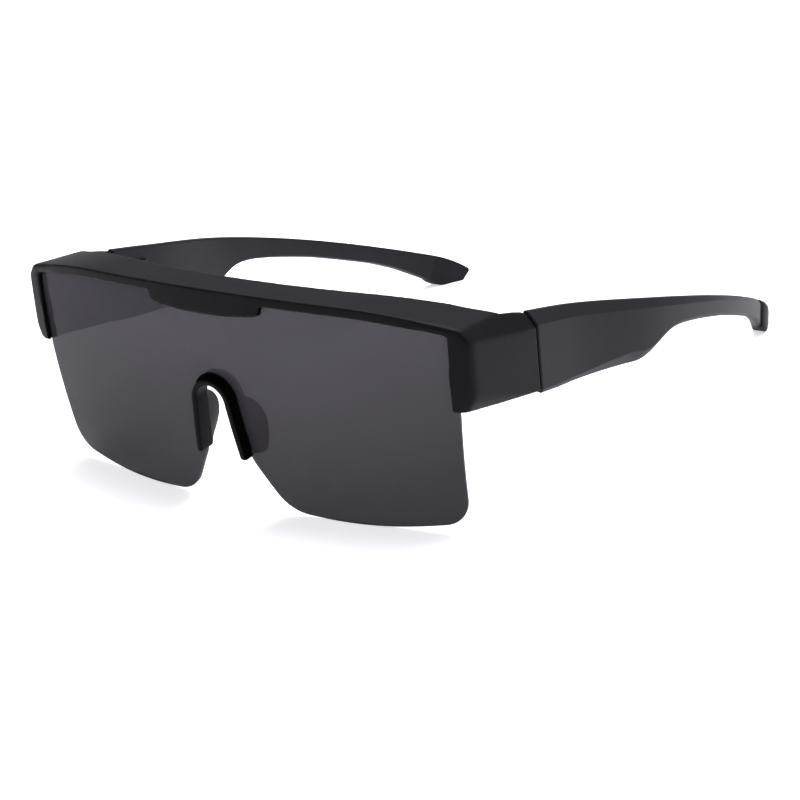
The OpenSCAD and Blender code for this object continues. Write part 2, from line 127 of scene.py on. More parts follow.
# %% Camera at the photograph's angle
camera_turn = math.radians(38.8)
camera_rise = math.radians(20.6)
camera_roll = math.radians(-5.6)
camera_far = 689
camera_at = np.array([11.59, 63.56, 11.41])
focal_px = 2452
frame_px = 800
back = np.array([math.sin(camera_turn) * math.cos(camera_rise),
                 -math.cos(camera_turn) * math.cos(camera_rise), math.sin(camera_rise)])
level = np.array([math.cos(camera_turn), math.sin(camera_turn), 0])
rise = np.cross(back, level)
right = math.cos(camera_roll) * level + math.sin(camera_roll) * rise
above = -math.sin(camera_roll) * level + math.cos(camera_roll) * rise
camera_data = bpy.data.cameras.new("camera")
camera_data.sensor_width = 36
camera_data.lens = focal_px * camera_data.sensor_width / frame_px
camera_data.clip_start = 0.01
camera = linked("camera", camera_data)
camera_spot = placed(camera_at + back * camera_far)[0]
camera_axes = Matrix(np.stack([right, above, back], 1).tolist())
camera.matrix_world = Matrix.Translation(camera_spot) @ camera_axes.to_4x4()
bpy.context.scene.camera = camera
print("focal length", round(camera_data.lens, 1), "mm")

# %% [markdown]
# ## Materials from nodes
# Every finish is a small network of shader nodes, so that it has detail at any size and needs no
# picture. The nodes could be placed by hand in the shader editor. Here two small classes write
# them. The first one stands for a value on its way through the network: a sum or a product of such
# values in Python makes the math nodes that do the same.

# %% Values of a shader
class Link:
    """One shader value that takes part in Python expressions."""

    def __init__(self, tree, socket):
        self.tree = tree
        self.socket = socket

    def math(self, operation, other):
        return self.tree.node("ShaderNodeMath", {"operation": operation}, [self, other])

    def __add__(self, other):
        return self.math("ADD", other)

    def __mul__(self, other):
        return self.math("MULTIPLY", other)

    def __sub__(self, other):
        return self.math("SUBTRACT", other)


print("a value of a shader is a", Link.__name__)

# %% [markdown]
# The second class is a material while it is being made. It has a method for each kind of node that
# the finishes need, and one that sets the values of the final shader. Every finish could write out
# its own nodes, but then the few numbers that make it special would be hard to find.

# %% Materials in the making
class Finish:
    """A material under construction."""

    def __init__(self, name):
        self.material = bpy.data.materials.new(name)
        self.material.use_nodes = True
        self.nodes = self.material.node_tree.nodes
        self.links = self.material.node_tree.links
        self.shader = self.nodes["Principled BSDF"]

    def plug(self, value, socket):
        if isinstance(value, Link):
            self.links.new(value.socket, socket)
        else:
            socket.default_value = value

    def node(self, kind, settings=None, inputs=None, out=0):
        """A node of any kind: its settings first, then its inputs by name or number."""
        made = self.nodes.new(kind)
        for key, value in (settings or {}).items():
            if key == "stops":
                for stop, (place, colour) in zip(made.color_ramp.elements, value):
                    stop.position = place
                    stop.color = colour
            else:
                setattr(made, key, value)
        pairs = inputs.items() if isinstance(inputs, dict) else enumerate(inputs or [])
        for key, value in pairs:
            self.plug(value, made.inputs[key])
        return Link(self, made.outputs[out])

    def place(self):
        """The point's place on the piece, in metres."""
        return self.node("ShaderNodeTexCoord", out=3)

    def axis(self, number):
        return self.node("ShaderNodeSeparateXYZ", None, [self.place()], number)

    def noise(self, scale, detail, roughness=0.5):
        return self.node("ShaderNodeTexNoise", None, {
            "Vector": self.place(), "Scale": scale, "Detail": detail, "Roughness": roughness})

    def ramp(self, value, low, high, start=0.0, end=1.0):
        stops = [(start, (*low, 1)), (end, (*high, 1))]
        return self.node("ShaderNodeValToRGB", {"stops": stops}, {"Fac": value})

    def between(self, value, low, high):
        return self.node("ShaderNodeMapRange", None, {"Value": value, "To Min": low, "To Max": high})

    def bump(self, height, distance):
        return self.node("ShaderNodeBump", None, {"Height": height, "Distance": distance})

    def set(self, **values):
        for name, value in values.items():
            self.plug(value, self.shader.inputs[name.replace("_", " ")])


print("a material in the making is a", Finish.__name__)

# %% [markdown]
# ## Studio
# The pair stands on a white sweep. A wide soft light hangs above and behind it, which gives the
# pale line along the top edges, and the camera side stays darker, so that the front faces read as
# black. The floor glows a little, which keeps its shadows faint as in the photograph, and it has a
# very slight mottling, as paper has.

# %% Studio floor
floor_low = cad_box[0][2]
paper = Finish("sweep_paper")
mottle = paper.noise(scale=9, detail=3)
paper.set(Base_Color=paper.ramp(mottle, (0.88, 0.88, 0.89), (0.94, 0.94, 0.94)),
          Roughness=0.9, Emission_Color=(1, 1, 1, 1), Emission_Strength=0.57)
bpy.ops.mesh.primitive_plane_add(size=6, location=(0, 0, floor_low))
floor = bpy.context.object
floor.name = "sweep"
floor.data.materials.append(paper.material)
print("floor at", round(floor_low / MM, 2), "mm")

# %% [markdown]
# Three rectangular lamps and a pale world light the pair. Point lamps or a sun would be quicker to
# set up, but they draw small hard highlights, and the photograph has only broad soft ones. All the
# light is a little cool, like the greys in the photograph.

# %% Soft lights and world
cool = (0.98, 0.96, 1.05)
world_strength = 0.34


def soft_light(name, place, aim, size, power):
    """A rectangular lamp of the given size that looks at a point."""
    data = bpy.data.lights.new(name, "AREA")
    data.shape = "RECTANGLE"
    data.size, data.size_y = size
    data.energy = power
    data.color = cool
    lamp = linked(name, data)
    lamp.location = place
    lamp.rotation_euler = (Vector(aim) - Vector(place)).to_track_quat("-Z", "Y").to_euler()


soft_light("top_light", place=(0.0, 0.5, 1.3), aim=(0, 0, 0), size=(1.6, 1.2), power=34)
soft_light("side_light", place=(1.2, 1.1, 0.6), aim=(0, 0.05, 0.03), size=(0.8, 1.0), power=3.5)
soft_light("fill_light", place=(0.2, -1.3, 0.9), aim=(0, 0, 0.03), size=(1.0, 0.8), power=3)
world = bpy.data.worlds.new("studio")
world.use_nodes = True
sky = world.node_tree.nodes["Background"]
sky.inputs["Color"].default_value = (*cool, 1)
sky.inputs["Strength"].default_value = world_strength
bpy.context.scene.world = world
bpy.context.scene.view_settings.view_transform = "Standard"

# %% [markdown]
# ## Meshes from rings
# The lens edge, the temples and the nose piece are all long pieces with a changing section. A
# bevelled curve could carry a section along a path, but it can't change the section's form on the
# way. So each piece is skinned from rings of points. Each ring is a polygon whose corners are
# rounded by real arcs, because a moulded edge is never sharp and its soft highlight is what the
# eye reads.

# %% Rounded outlines
# An arc takes up at most this part of the shorter side beside it
arc_share = 0.48
least_turn = 1e-4


def rounded(corners, radii, steps=4):
    """A closed polygon with an arc of the given radius at each corner."""
    corners = np.array(corners, float)
    count = len(corners)
    out = []
    for i in range(count):
        corner = corners[i]
        to_last = corners[i - 1] - corner
        to_next = corners[(i + 1) % count] - corner
        room = arc_share * min(np.linalg.norm(to_last), np.linalg.norm(to_next))
        to_last /= np.linalg.norm(to_last)
        to_next /= np.linalg.norm(to_next)
        half = math.acos(np.clip(to_last @ to_next, -1, 1)) / 2
        run = min(radii[i] / math.tan(half), room)
        reach = run * math.tan(half)
        inward = (to_last + to_next) / np.linalg.norm(to_last + to_next)
        middle = corner + inward * reach / math.sin(half)
        first = corner + to_last * run - middle
        last = corner + to_next * run - middle
        sweep = math.pi - 2 * half
        for t in np.linspace(0, 1, steps + 1):
            w0, w1 = 1 - t, t
            if sweep > least_turn:
                w0, w1 = (math.sin(w * sweep) / math.sin(sweep) for w in (w0, w1))
            out.append(middle + first * w0 + last * w1)
    return np.array(out)


print("points of a rounded square:", len(rounded([(0, 0), (4, 0), (4, 4), (0, 4)], [1] * 4)))

# %% [markdown]
# Rings become a mesh when each point is joined to the next one of its ring and to its partner in
# the ring after, and a face closes each end. Bridge Edge Loops in edit mode does the same, but it
# chooses by itself which points belong together, and here that is known.

# %% Skins over rings
def face_outward(mesh):
    """Turns the faces of a closed mesh outward and shades it smooth."""
    body = bmesh.new()
    body.from_mesh(mesh)
    bmesh.ops.recalc_face_normals(body, faces=body.faces)
    body.to_mesh(mesh)
    body.free()
    mesh.shade_smooth()


def skinned(name, rings):
    """A closed mesh through equal rings of points, given in metres."""
    count = len(rings[0])
    points = np.concatenate(rings)
    faces = []
    for i in range(len(rings) - 1):
        for j in range(count):
            a, b = i * count + j, i * count + (j + 1) % count
            faces.append((a, b, b + count, a + count))
    faces.append(tuple(range(count - 1, -1, -1)))
    faces.append(tuple(range(len(points) - count, len(points))))
    mesh = bpy.data.meshes.new(name)
    mesh.from_pydata(points.tolist(), [], faces)
    face_outward(mesh)
    print(name, len(faces), "faces, all points are numbers:", not np.isnan(points).any())
    return linked(name, mesh)


print("between two rings a skin has one face for each of a ring's points")

# %% [markdown]
# ## Plastic finishes
# The moulding and the temples have a soft matte black finish with a fine grain. It is nearly black,
# and what shows is the broad sheen of the lights, which the gloss sets. Though they are one plastic,
# the moulding gets a darker grey and the temples a lighter one: painted shade on the moulding and
# painted light on the temples. The temples' tips and the nose piece are duller. The deepest black is
# painted shade, for narrow faces that lie in their own shade. Five materials could be built one by
# one, but they differ in four values only, so one function makes them all.

# %% Plastic finishes
cloud_dark, cloud_light = 0.82, 1.18
rough_play = 0.05
grain_h, faint_grain_h = 0.00002, 0.00001


def matte_black(name, grey, roughness, grain, gloss):
    """Black plastic with faint clouds in its grey and a grain of the given height."""
    finish = Finish(name)
    cloud = finish.noise(scale=55, detail=3)
    fine = finish.noise(scale=3800, detail=2, roughness=0.6)
    dark = [c * cloud_dark for c in grey]
    light = [c * cloud_light for c in grey]
    finish.set(Base_Color=finish.ramp(cloud, dark, light, start=0.3, end=0.7),
               Roughness=finish.between(fine, roughness - rough_play, roughness + rough_play),
               Normal=finish.bump(fine, grain), Specular_IOR_Level=gloss)
    return finish.material


# One plastic in two greys: the moulding's darker grey is painted shade, the temples' lighter grey
# painted light
frame_black = matte_black("soft_touch_black", (0.0036, 0.0034, 0.0042), 0.46, grain_h, gloss=0.07)
temple_black = matte_black("temple_black", (0.0092, 0.0087, 0.0105), 0.48, grain_h, gloss=0.12)
nose_black = matte_black("satin_black", (0.004, 0.004, 0.0048), 0.5, faint_grain_h, gloss=0.05)
tip_black = matte_black("tip_black", (0.009, 0.0085, 0.0103), 0.55, grain_h, gloss=0.09)
# Painted shade: the deepest black, for narrow faces that lie in their own shade
painted_shade_black = matte_black("painted_shade_black", (0.0015, 0.0015, 0.0018), 0.85, grain_h, gloss=0.01)
print("finishes:", [m.name for m in (frame_black, temple_black, nose_black, tip_black, painted_shade_black)])

# %% [markdown]
# ## Lens
# The lens is one sheet of tinted plastic, curved both ways like a piece of a ball. Its outline is
# drawn flat, from the front: a notch for the nose, soft corners beside it, shallow lower edges and
# rounded outer corners. A plane bent by a modifier would do for the faces, but its rim would stay
# sharp. So a fine net of triangles fills the outline, each point goes onto the ball, and rings
# with small insets round the rim. The normals are set from the ball itself, because a glossy
# surface shows the slightest facet.

# %% Lens sizes
lens_r = 230
lens_t = 1.8
ball_z = 20
frame_proud = 1.6
wall_t = 4.5
side_room = 0.6
lens_half_w = half_w - wall_t - side_room
lens_taper = 2.4
side_z = 31.8
notch_r = 6
notch_top = 37.8
leg_spread = 0.12
flare_z = 15
flare_lean = 0.6
flare_reach = 6
flare_r = 9
low_x = 40
low_curve_r = 150
low_from, low_to = 27, 57
outer_corner_r = 9
inner_corner_r = 16
top_along = top_edge * math.cos(tilt)
crown_sag = lens_r - math.sqrt(lens_r**2 - (top_along - ball_z) ** 2)
lens_y = top_edge * math.sin(tilt) + frame_proud - crown_sag


def lens_face(x, z):
    """How far the upright lens's front face lies behind the lip."""
    return lens_y + lens_r - np.sqrt(lens_r**2 - x**2 - (z - ball_z) ** 2)


lens_low = -lens_face(low_x, 0) * math.tan(tilt)
arch_z = notch_top - notch_r
print("lens half width", round(lens_half_w, 1), "its lowest point stands at", round(lens_low, 2))

# %% [markdown]
# The brow's top edge is a very shallow arc with a tighter one at each end, and the lens's top edge
# runs just below it, inside the lip. A curve through a few points would come close to it, but two
# arcs are what the drawing says. The lens leans, so the height along it depends on how far back
# the ball lies there, and a few rounds of the same sum settle that.

# %% Crown line of the brow
crown_r = 1400
crown_half_w = 40
crown_end_r = 185
lip_h = 2
lens_grip = 0.7
crown_turn = math.asin(crown_half_w / crown_r)
crown_end_x = (crown_r - crown_end_r) * math.sin(crown_turn)
crown_end_drop = crown_r - (crown_r - crown_end_r) * math.cos(crown_turn)


def crown_drop(x):
    """How far the brow's top edge has fallen at a distance x from the middle."""
    x = abs(x)
    if x < crown_half_w:
        return crown_r - math.sqrt(crown_r**2 - x**2)
    return crown_end_drop - math.sqrt(crown_end_r**2 - (x - crown_end_x) ** 2)


def crown_line(x):
    """Height of the lens's top edge along the lens."""
    high = top_edge - crown_drop(x) - (lip_h - lens_grip)
    along = high / math.cos(tilt)
    for _ in range(3):
        along = (high - lens_face(x, along) * math.sin(tilt)) / math.cos(tilt)
    return along


print("the crown falls by", round(crown_drop(lens_half_w), 1), "mm to the lens's side")

# %% [markdown]
# The lens's lower part has two kinds of line: the legs of the notch, which spread downward, and a
# shallow lower edge on each side. Their points could be listed one by one. Each is a formula here,
# so that the nose piece can ask for the same places later, and arcs take off the corners.

# %% Lines of the lens outline
def leg_x(z):
    """Half width of the notch, which spreads downward."""
    return notch_r + (arch_z - z) * leg_spread


def low_line(x):
    """Height of the shallow lower edge."""
    return lens_low + (x - low_x) ** 2 / (2 * low_curve_r)


def arc(corner, before, after, radius, steps):
    """Points of the arc that rounds one corner."""
    return rounded([corner, after, before], [radius, 0, 0], steps)[: steps + 1]


print("half width of the notch at its top and at its flare:", notch_r, round(leg_x(flare_z), 1))

# %% [markdown]
# One half of the outline is put together from these lines and arcs, and then mirrored. Tracing it
# by eye with a Bezier curve would be quicker, but the notch has to fit the nose piece exactly. At
# the end the points are spread evenly, so that all triangles beside the rim have the same size.

# %% Lens outline
outline_step = 1.0
arc_lead = 2


def lens_half_outline():
    """Right half of the outline, from the top of the notch to the top edge."""
    above_flare = (leg_x(flare_z + flare_reach), flare_z + flare_reach)
    flare_top = np.array([leg_x(flare_z), flare_z])
    slope_in = (low_from - low_x) / low_curve_r
    slope_out = (low_to - low_x) / low_curve_r
    # Where the flare's line meets the lower edge's line
    fall = flare_z - low_line(low_from) + slope_in * (low_from - flare_top[0])
    drop = fall / (1 + slope_in * flare_lean)
    inner = flare_top + np.array([flare_lean, -1]) * drop
    side_x = lens_half_w - lens_taper
    outer = np.array([side_x, low_line(low_to) + slope_out * (side_x - low_to)])
    first, last = low_from + arc_lead, low_to - arc_lead
    quarter = np.linspace(0, math.pi / 2, 12)
    line = np.array([
        *[(notch_r * math.sin(a), arch_z + notch_r * math.cos(a)) for a in quarter],
        *arc(flare_top, above_flare, inner, flare_r, steps=4),
        *arc(inner, flare_top, (first, low_line(first)), inner_corner_r, steps=10),
        *[(x, low_line(x)) for x in np.linspace(first, last, 14)],
        *arc(outer, (last, low_line(last)), (lens_half_w, side_z), outer_corner_r, steps=12),
        (lens_half_w, side_z),
        *[(x, crown_line(x)) for x in np.linspace(lens_half_w, 0, 30)]])
    steps = np.r_[0, np.cumsum(np.linalg.norm(np.diff(line, axis=0), axis=1))]
    even = np.linspace(0, steps[-1], int(steps[-1] / outline_step))
    return np.stack([np.interp(even, steps, line[:, 0]), np.interp(even, steps, line[:, 1])], 1)


half = lens_half_outline()
outline = np.concatenate([half[:-1], (half[::-1] * (-1, 1))[:-1]])
print("lens outline:", len(outline), "points, lowest", round(outline[:, 1].min(), 2))

# %% [markdown]
# A single face with hundreds of corners can't be curved, so the inside of the outline is filled
# with a net of points and cut into triangles. A grid trimmed by a boolean would leave slivers along
# the rim. Blender's own triangulation keeps each edge of the outline whole and joins it to the net.

# %% Lens net
net_step = 3.0
net_room = 1
inside_only = 1
merge_under = 0.05


def inset(line, depth):
    """The closed outline moved inward by a distance."""
    ahead = np.roll(line, -1, 0) - np.roll(line, 1, 0)
    ahead /= np.linalg.norm(ahead, axis=1)[:, None]
    inward = np.stack([-ahead[:, 1], ahead[:, 0]], 1)
    turn = np.sum(line[:, 0] * np.roll(line[:, 1], -1) - np.roll(line[:, 0], -1) * line[:, 1])
    return line + inward * depth * (1 if turn > 0 else -1)


# The rim's rings: inset from the outline and depth behind the front face
rim_front = [(0.45, 0), (0.2, 0.06), (0.06, 0.2), (0, 0.45)]
rim = rim_front + [(inward, lens_t - depth) for inward, depth in reversed(rim_front)]
face_edge = inset(outline, rim[0][0])
net = [Vector((x, z)) for x in np.arange(-lens_half_w, lens_half_w, net_step)
       for z in np.arange(lens_low, top_along, net_step)]
# Net points too near the outline would split its edges
net = [p for p in net if np.hypot(*(face_edge - p).T).min() > net_room]
edge = [Vector(p) for p in face_edge]
loop = [(i, (i + 1) % len(edge)) for i in range(len(edge))]
whole_face = [list(range(len(edge)))]
filled = geometry.delaunay_2d_cdt(edge + net, loop, whole_face, inside_only, merge_under)
flat, flat_faces = np.array([tuple(p) for p in filled[0]]), filled[2]
print("lens face:", len(flat), "points,", len(flat_faces), "triangles")

# %% [markdown]
# The flat net is laid on the ball twice, for the front face and for the rear one, and small rings
# join the two along the rim and round its edges. A solidify modifier would make the same two
# faces, but its rim would be sharp, and a lens's edge is polished round.

# %% Lens sheet
ball_middle = np.array([0, lens_y + lens_r, ball_z])


def on_ball(flat, depth):
    """Places of flat outline points on the ball, some depth behind its face."""
    x, z = flat[:, 0], flat[:, 1]
    radial = (np.stack([x, lens_face(x, z), z], 1) - ball_middle) / lens_r
    return ball_middle + radial * (lens_r - depth)


def lens_object():
    """The lens as one closed mesh."""
    used = sorted({i for f in flat_faces for i in f})
    number = {i: k for k, i in enumerate(used)}
    front = on_ball(flat[used], 0)
    rear = on_ball(flat[used], lens_t)
    count = len(used)
    faces = [tuple(number[i] for i in f) for f in flat_faces]
    faces += [tuple(number[i] + count for i in reversed(f)) for f in flat_faces]
    points = [front, rear]
    # The rim's rings join the two faces
    rings = [[number[i] for i in range(len(edge))]]
    start = 2 * count
    for inward, depth in rim[1:-1]:
        points.append(on_ball(inset(outline, inward), depth))
        rings.append(list(range(start, start + len(edge))))
        start += len(edge)
    rings.append([k + count for k in rings[0]])
    for a, b in zip(rings, rings[1:]):
        for j, k in loop:
            faces.append((a[j], a[k], b[k], b[j]))
    mesh = bpy.data.meshes.new("lens_sheet")
    mesh.from_pydata(placed(leaned(np.concatenate(points))).tolist(), [], faces)
    face_outward(mesh)
    # Exact normals on the two faces
    normals = np.array([tuple(v.normal) for v in mesh.vertices])
    outward = leaned((front - ball_middle) / lens_r)
    normals[:count] = outward
    normals[count:2 * count] = -outward
    mesh.normals_split_custom_set_from_vertices(normals.tolist())
    return linked("lens_sheet", mesh)


lens = lens_object()
print("lens sheet:", len(lens.data.polygons), "faces")

# %% [markdown]
# ## Lens finish
# The tint lets a few hundredths of the light through, so the frame behind shows only as a darker
# patch. Light passes both faces, so each of them lets 14 hundredths through. Glass that bends the
# light would show the same at many times the work, so the shader's alpha does it. The tint is a dark
# violet grey with a faint unevenness from wiping, and painted light and shade lie in it: it is
# lighter towards the top and the middle, and darker towards the lower edge and the sides.

# %% Lens finish
painted_light_by_height, painted_shade_by_side, by_wiping = 16, 60, 0.2
tint = Finish("smoke_tint")
wiped = tint.noise(scale=24, detail=4)
height = tint.axis(2)
across = tint.axis(0)
# Painted light and shade in the base colour: lighter towards the top and the middle, darker towards
# the lower edge and the sides
shade = height * painted_light_by_height - across * across * painted_shade_by_side + (wiped - 0.5) * by_wiping
tint.set(Base_Color=tint.ramp(shade, (0.012, 0.0114, 0.0133), (0.05, 0.0475, 0.0548), end=0.75),
         Roughness=tint.between(wiped, 0.06, 0.1), Alpha=0.86, IOR=1.1)
lens.data.materials.append(tint.material)
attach(lens, "root")
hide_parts("shield_lens")
print("lens finish:", tint.material.name)

# %% [markdown]
# ## Front moulding
# The moulding is a single piece of plastic: brow shelf, lip, tab and two deep end pieces. Its
# shape on the drawing is right, but its edges are sharp. A bevel would need long clean edges, and
# the solid's curved faces are cut into many triangles. So a copy of the solid is wrapped in a fine
# even net, which is then relaxed a little. That rounds every edge and fillets every inner corner
# at once, as a mould does.

# %% Front moulding
def applied(piece):
    """Turns the piece's modifiers into its mesh."""
    done = piece.evaluated_get(bpy.context.evaluated_depsgraph_get())
    mesh = bpy.data.meshes.new_from_object(done)
    piece.modifiers.clear()
    piece.data = mesh
    return mesh


def relaxing(piece, name, rounds):
    """A modifier that moves each vertex half way to the middle of those beside it."""
    relax = piece.modifiers.new(name, "SMOOTH")
    relax.factor = 0.5
    relax.iterations = rounds
    return relax


def wrapped(name, node, voxel, rounds, keep):
    """A copy of a solid in a fine even net, relaxed and thinned out again."""
    piece = linked(name, frame["nodes"][node].data.copy())
    net_mod = piece.modifiers.new("net", "REMESH")
    net_mod.mode = "VOXEL"
    net_mod.voxel_size = voxel
    relaxing(piece, "relax", rounds)
    thin = piece.modifiers.new("thin", "DECIMATE")
    thin.ratio = keep
    mesh = applied(piece)
    mesh.name = name
    mesh.materials.clear()
    mesh.shade_smooth()
    print(name, len(mesh.vertices), "vertices", len(mesh.polygons), "faces")
    return piece


moulding = wrapped("front_moulding", "front_frame", voxel=0.00028, rounds=8, keep=0.6)

# %% [markdown]
# The outer corners of the end pieces are rounder than the rest, and their top runs into the shelf
# without a ridge. The tab's lower corners are round too. Sculpting could soften them, but strokes
# of a brush can't be written down as sizes. So those places get a weight each, and a second
# relaxing works only where the weight is high.

# %% Softer corners
tab_half_w = 19.5
least_weight = 0.01
# Where the weights fade, in millimetres outward, behind the lip and upward
corner_out, corner_behind = (72, 74), (12, 24)
ridge_out, ridge_up, ridge_front, ridge_behind = (61, 65), (46, 49), (3, 6), (31, 37)
tab_in, tab_out = (tab_half_w - 2, tab_half_w - 1), (tab_half_w + 0.5, tab_half_w + 1.5)
tab_up = (59.6, 60.8)


def fade(value, low, high):
    """Grows from 0 at the low value to 1 at the high one."""
    return np.clip((value - low) / (high - low), 0, 1)


def fade_out(value, low, high):
    """Falls from 1 at the low value to 0 at the high one."""
    return 1 - fade(value, low, high)


def relaxed(piece, weights, rounds):
    """Relaxes the piece where its weights are high."""
    group = piece.vertex_groups.new(name="soft_places")
    for i in np.flatnonzero(weights > least_weight):
        group.add([int(i)], float(weights[i]), "REPLACE")
    relaxing(piece, "soft_places", rounds).vertex_group = group.name
    applied(piece)
    piece.vertex_groups.clear()


at = np.array([tuple(v.co) for v in moulding.data.vertices]) / MM
out, behind, up = abs(at[:, 0]), at[:, 1] - shift_y, at[:, 2]
outer_corner = fade(out, *corner_out) * fade_out(behind, *corner_behind)
top_ridge = (fade(out, *ridge_out) * fade(up, *ridge_up)
             * fade(behind, *ridge_front) * fade_out(behind, *ridge_behind))
tab_end = fade(out, *tab_in) * fade_out(out, *tab_out) * fade_out(up, *tab_up)
soft_places = np.maximum.reduce([outer_corner, top_ridge, tab_end])
relaxed(moulding, soft_places, rounds=70)
print("softened vertices:", int((soft_places > least_weight).sum()))

# %% [markdown]
# The moulding is soft-touch black all over, but the tab's end faces lie in shade and show as short
# black lines in the photograph. A painted mask could darken them. Here they get the deepest black
# as a second material, since their place and the side that they look to are enough to find them.

# %% Moulding finish
tab_end_from, tab_end_to = tab_half_w - 1.2, tab_half_w + 1.1
tab_end_low, tab_end_high = 56, 61
least_sideways = 0.45
moulding.data.materials.append(frame_black)
moulding.data.materials.append(painted_shade_black)
# Painted shade: the tab's end faces get the deepest black
for face in moulding.data.polygons:
    x, _, z = face.center / MM
    sideways = face.normal.x * x > least_sideways * abs(x)
    if sideways and tab_end_low < z < tab_end_high and tab_end_from < abs(x) < tab_end_to:
        face.material_index = 1
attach(moulding, "root")
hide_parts("front_frame")
print("dark faces at the tab's ends:", sum(f.material_index for f in moulding.data.polygons))

# %% [markdown]
# ## Temples
# A temple is a wide plate at the hinge that steps down to a slim arm, with a bulb at its bent end.
# Its top edge is a long shallow arc and a tighter one. A box could be cut and bent to this shape,
# but every change would mean starting over. Here its section is carried along the top edge: an
# outer chamfer at the top, a crease that climbs away from the lower edge, and a soft inner side.
# Many close stations keep the curves smooth, and both ends close in with small arcs. A fold sets off
# the bulb, which is duller than the arm, and the fold gets painted shade: a thin line of the deepest
# black.

# %% Temple sizes
temple_l = 148
temple_top = 52.9
temple_h = 22.6
temple_fall, arm_fall, tip_turn = (math.radians(a) for a in (11.25, 23, 42))
wide_l, wide_h, step_l = 49, 17.2, 14
tip_end_h, tip_r, tip_swell = 3.2, 1, 1
temple_t, arm_t, arm_h, bulb_h = 4.5, 3.6, 5.8, 9
bow, bow_l, bend_at, tip_in = 4.2, 40, 54, 17.4
fold_back, fold_w = 14.4, 0.7
hinge_gap = 0.6
leaf_l = 13
shoulder_h, shoulder_w = 3.3, 2.7
start_y = hinge_y + hinge_gap / 2
flat_y = hinge_y + leaf_l + 1
bend_y = hinge_y + bend_at
bend_r = (temple_l - bend_at) ** 2 / (2 * (tip_in + bow))
neck = wide_l + step_l
print("the temple starts at y", start_y, "and bends inward from y", bend_y)

# %% [markdown]
# The temple's top edge starts at the hinge and falls to the foot of the tip. A Bezier curve could
# be bent until it looked right. Two arcs that meet without a corner need no trying: their radii
# follow from where the edge starts, where it ends and how steep it is at three places.

# %% Temple top edge from two arcs
run_y = temple_l - hinge_gap / 2 + tip_r * (math.cos(tip_turn) + math.sin(tip_turn) - 1)
drop_z = temple_top - tip_end_h
turns = np.array([
    [math.sin(arm_fall) - math.sin(temple_fall), math.sin(tip_turn) - math.sin(arm_fall)],
    [math.cos(temple_fall) - math.cos(arm_fall), math.cos(arm_fall) - math.cos(tip_turn)]])
long_r, end_r = np.linalg.solve(turns, [run_y, drop_z])
long_l = long_r * (arm_fall - temple_fall)
edge_l = long_l + end_r * (tip_turn - arm_fall)
print("top edge arcs:", round(long_r), "and", round(end_r), "mm, length", round(edge_l, 1))


def heading(s):
    """The edge's fall at a length s along it."""
    return temple_fall + s / long_r if s < long_l else arm_fall + (s - long_l) / end_r


def edge_place(s):
    """Place along y and height of the top edge at a length s along it."""
    a = heading(s)
    if s < long_l:
        return (start_y + long_r * (math.sin(a) - math.sin(temple_fall)),
                temple_top - long_r * (math.cos(temple_fall) - math.cos(a)))
    return (start_y + long_r * turns[0, 0] + end_r * (math.sin(a) - math.sin(arm_fall)),
            temple_top - long_r * turns[1, 0] - end_r * (math.cos(arm_fall) - math.cos(a)))


def sweep_in(y):
    """How far the temple lies inward of the front's side."""
    u = min(1, max(0, y - flat_y) / bow_l)
    v = max(0, y - bend_y)
    return v * v / (2 * bend_r) - bow * u * u * (3 - 2 * u)


# %% [markdown]
# The section is a polygon of six corners. Its height, its thickness, its chamfer and its crease
# come from short tables of lengths and values. A lattice could bend a finished mesh into the same
# form, but the tables keep every size in sight, and each can be changed by itself.

# %% Temple section
early, late = wide_l + step_l * 0.25, wide_l + step_l * 0.75


def along(s, *stations):
    """Value at a length s between stations of (length, value)."""
    return float(np.interp(s, *zip(*stations)))


def temple_section(s):
    """Corners of the section, outward and up, rounded."""
    h = along(s, (0, temple_h), (wide_l, wide_h), (early, wide_h * 0.89), (late, wide_h * 0.58),
              (neck, wide_h * 0.49), (neck + 6, arm_h + 1.5), (neck + 16, arm_h + 0.7),
              (neck + 32, arm_h), (edge_l - 36, arm_h), (edge_l - 26, arm_h + 0.7),
              (edge_l - 17, bulb_h - 1), (edge_l - 12, bulb_h), (edge_l, bulb_h))
    h = min(h, edge_place(s)[1] / math.cos(heading(s)))
    t = along(s, (0, temple_t), (wide_l, temple_t - 0.4), (neck + 10, arm_t), (edge_l - 22, arm_t),
              (edge_l - 8, arm_t + 0.8), (edge_l, arm_t + 0.8))
    swell = along(s, (0, 0), (edge_l - 20, 0), (edge_l - 14.5, -1.0), (edge_l - 12.5, 0.3),
                  (edge_l - 9, tip_swell), (edge_l, tip_swell * 0.4))
    cut_h = along(s, (0, shoulder_h + 0.1), (30, shoulder_h - 0.5), (neck, 2), (neck + 26, 1.3),
                  (edge_l - 12, 1.2), (edge_l - 2, 0.6))
    cut_w = along(s, (0, shoulder_w), (30, shoulder_w - 0.4), (neck, 1.5), (neck + 26, 1.2),
                  (edge_l - 12, 1.2), (edge_l - 2, 0.6))
    crease = along(s, (0, 1.2), (12, 1.3), (wide_l * 0.5, 1.7), (wide_l - 4, 3.8), (early, 2.2),
                   (late, 1.2), (edge_l - 12, 1.2), (edge_l - 2, 0.6))
    lift = along(s, (0, 0.6), (wide_l, 0.8), (neck + 6, 0.6), (edge_l - 12, 0.6), (edge_l - 8, 0))
    corners = [(swell - cut_w, 0), (swell, -cut_h), (swell, -(h - crease)),
               (swell - crease * 0.6, -h), (-t, -h + lift), (-t, 0)]
    soft = along(s, (0, 0.35), (wide_l, 0.5), (neck + 20, 1.0), (edge_l - 12, 1.2), (edge_l - 4, 0.5))
    crisp = along(s, (0, 0.25), (neck, 0.3), (neck + 30, 1.0), (edge_l - 12, 1.2), (edge_l - 4, 0.5))
    return rounded(corners, [soft, crisp, crisp, soft, 0.7, 0.7])


